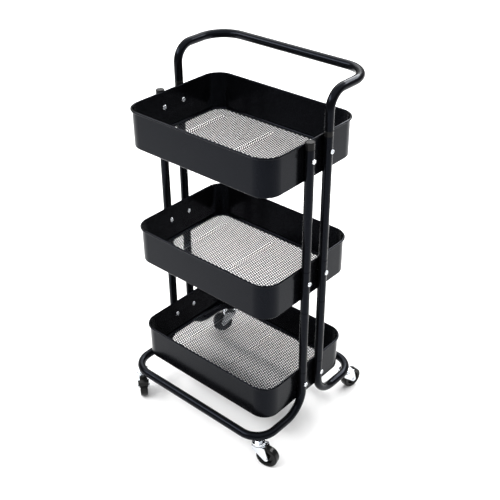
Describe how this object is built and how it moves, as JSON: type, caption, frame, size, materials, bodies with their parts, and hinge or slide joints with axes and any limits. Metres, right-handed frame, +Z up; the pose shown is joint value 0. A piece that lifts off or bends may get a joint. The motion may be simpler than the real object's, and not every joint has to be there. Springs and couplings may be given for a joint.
{
  "type": "rolling pantry cart",
  "caption": "Tiered rolling pantry cart: mesh-floored baskets bolted between tube posts, with a bent push handle and swivel casters, one with a brake pedal.",
  "frame": {"origin": "on the floor, under the middle of the whole outline with the casters as stored", "axes": "+X along the long side of the baskets, +Y towards the handle side, +Z up"},
  "size_m": [0.4528, 0.4099, 0.8245],
  "materials": {
    "powder_coat": "satin",
    "zinc": "bright zinc plate",
    "black_plastic": "moulded",
    "black_rubber": "matte"
  },
  "bodies": {
    "frame": {"base_frame_front": "powder_coat", "base_frame_rear": "powder_coat", "lower_post_front_left": "powder_coat", "lower_post_front_right": "powder_coat", "lower_post_rear_left": "powder_coat", "lower_post_rear_right": "powder_coat", "middle_post_front_left": "powder_coat", "middle_post_front_right": "powder_coat", "middle_post_rear_left": "powder_coat", "middle_post_rear_right": "powder_coat", "upper_post_front_left": "powder_coat", "upper_post_front_right": "powder_coat", "upper_post_rear_left": "powder_coat", "upper_post_rear_right": "powder_coat", "post_cap_front_left": "black_plastic", "post_cap_front_right": "black_plastic", "post_collar_rear_left": "black_plastic", "post_collar_rear_right": "black_plastic", "handle": "powder_coat", "basket_bottom": "powder_coat", "basket_floor_bottom": "powder_coat", "basket_screws_bottom": "zinc", "basket_nuts_bottom": "zinc", "basket_middle": "powder_coat", "basket_floor_middle": "powder_coat", "basket_screws_middle": "zinc", "basket_nuts_middle": "zinc", "basket_top": "powder_coat", "basket_floor_top": "powder_coat", "basket_screws_top": "zinc", "basket_nuts_top": "zinc", "caster_stem_front_left": "zinc", "caster_stem_front_right": "zinc", "caster_stem_rear_left": "zinc", "caster_stem_rear_right": "zinc", "swivel_balls": "zinc"},
    "fork_front_right": {"caster_fork_front_right": "zinc", "wheel_axle_front_right": "zinc"},
    "wheel_front_right": {"wheel_core_front_right": "black_plastic", "wheel_tread_front_right": "black_rubber"},
    "brake_front_left": {"brake_lever_front_left": "zinc", "brake_pedal_front_left": "black_plastic"},
    "fork_front_left": {"caster_fork_front_left": "zinc", "wheel_axle_front_left": "zinc", "brake_pin_front_left": "zinc"},
    "wheel_front_left": {"wheel_core_front_left": "black_plastic", "wheel_tread_front_left": "black_rubber"},
    "fork_rear_right": {"caster_fork_rear_right": "zinc", "wheel_axle_rear_right": "zinc"},
    "wheel_rear_right": {"wheel_core_rear_right": "black_plastic", "wheel_tread_rear_right": "black_rubber"},
    "fork_rear_left": {"caster_fork_rear_left": "zinc", "wheel_axle_rear_left": "zinc"},
    "wheel_rear_left": {"wheel_core_rear_left": "black_plastic", "wheel_tread_rear_left": "black_rubber"}
  },
  "joints": [
    {"name": "caster_swivel_front_right", "type": "hinge", "parent": "frame", "child": "fork_front_right", "pos_m": [0.17931, -0.16116, 0.05], "axis": [0, 0, 1], "continuous": true},
    {"name": "wheel_spin_front_right", "type": "hinge", "parent": "fork_front_right", "child": "wheel_front_right", "pos_m": [0.20056, -0.15546, 0.025], "axis": [-0.2588, 0.9659, 0], "continuous": true},
    {"name": "caster_swivel_front_left", "type": "hinge", "parent": "frame", "child": "fork_front_left", "pos_m": [-0.19351, -0.16116, 0.05], "axis": [0, 0, 1], "continuous": true},
    {"name": "wheel_spin_front_left", "type": "hinge", "parent": "fork_front_left", "child": "wheel_front_left", "pos_m": [-0.17665, -0.1753, 0.025], "axis": [0.6428, 0.766, 0], "continuous": true},
    {"name": "brake_press_front_left", "type": "hinge", "parent": "fork_front_left", "child": "brake_front_left", "pos_m": [-0.16746, -0.18301, 0.05], "axis": [0.6428, 0.766, 0], "range_deg": [0, 16]},
    {"name": "caster_swivel_rear_right", "type": "hinge", "parent": "frame", "child": "fork_rear_right", "pos_m": [0.17931, 0.15756, 0.05], "axis": [0, 0, 1], "continuous": true},
    {"name": "wheel_spin_rear_right", "type": "hinge", "parent": "fork_rear_right", "child": "wheel_rear_right", "pos_m": [0.18313, 0.17922, 0.025], "axis": [-0.9848, 0.1736, 0], "continuous": true},
    {"name": "caster_swivel_rear_left", "type": "hinge", "parent": "frame", "child": "fork_rear_left", "pos_m": [-0.19351, 0.15756, 0.05], "axis": [0, 0, 1], "continuous": true},
    {"name": "wheel_spin_rear_left", "type": "hinge", "parent": "fork_rear_left", "child": "wheel_rear_left", "pos_m": [-0.20597, 0.13942, 0.025], "axis": [0.8241, -0.5664, 0], "continuous": true}
  ]
}
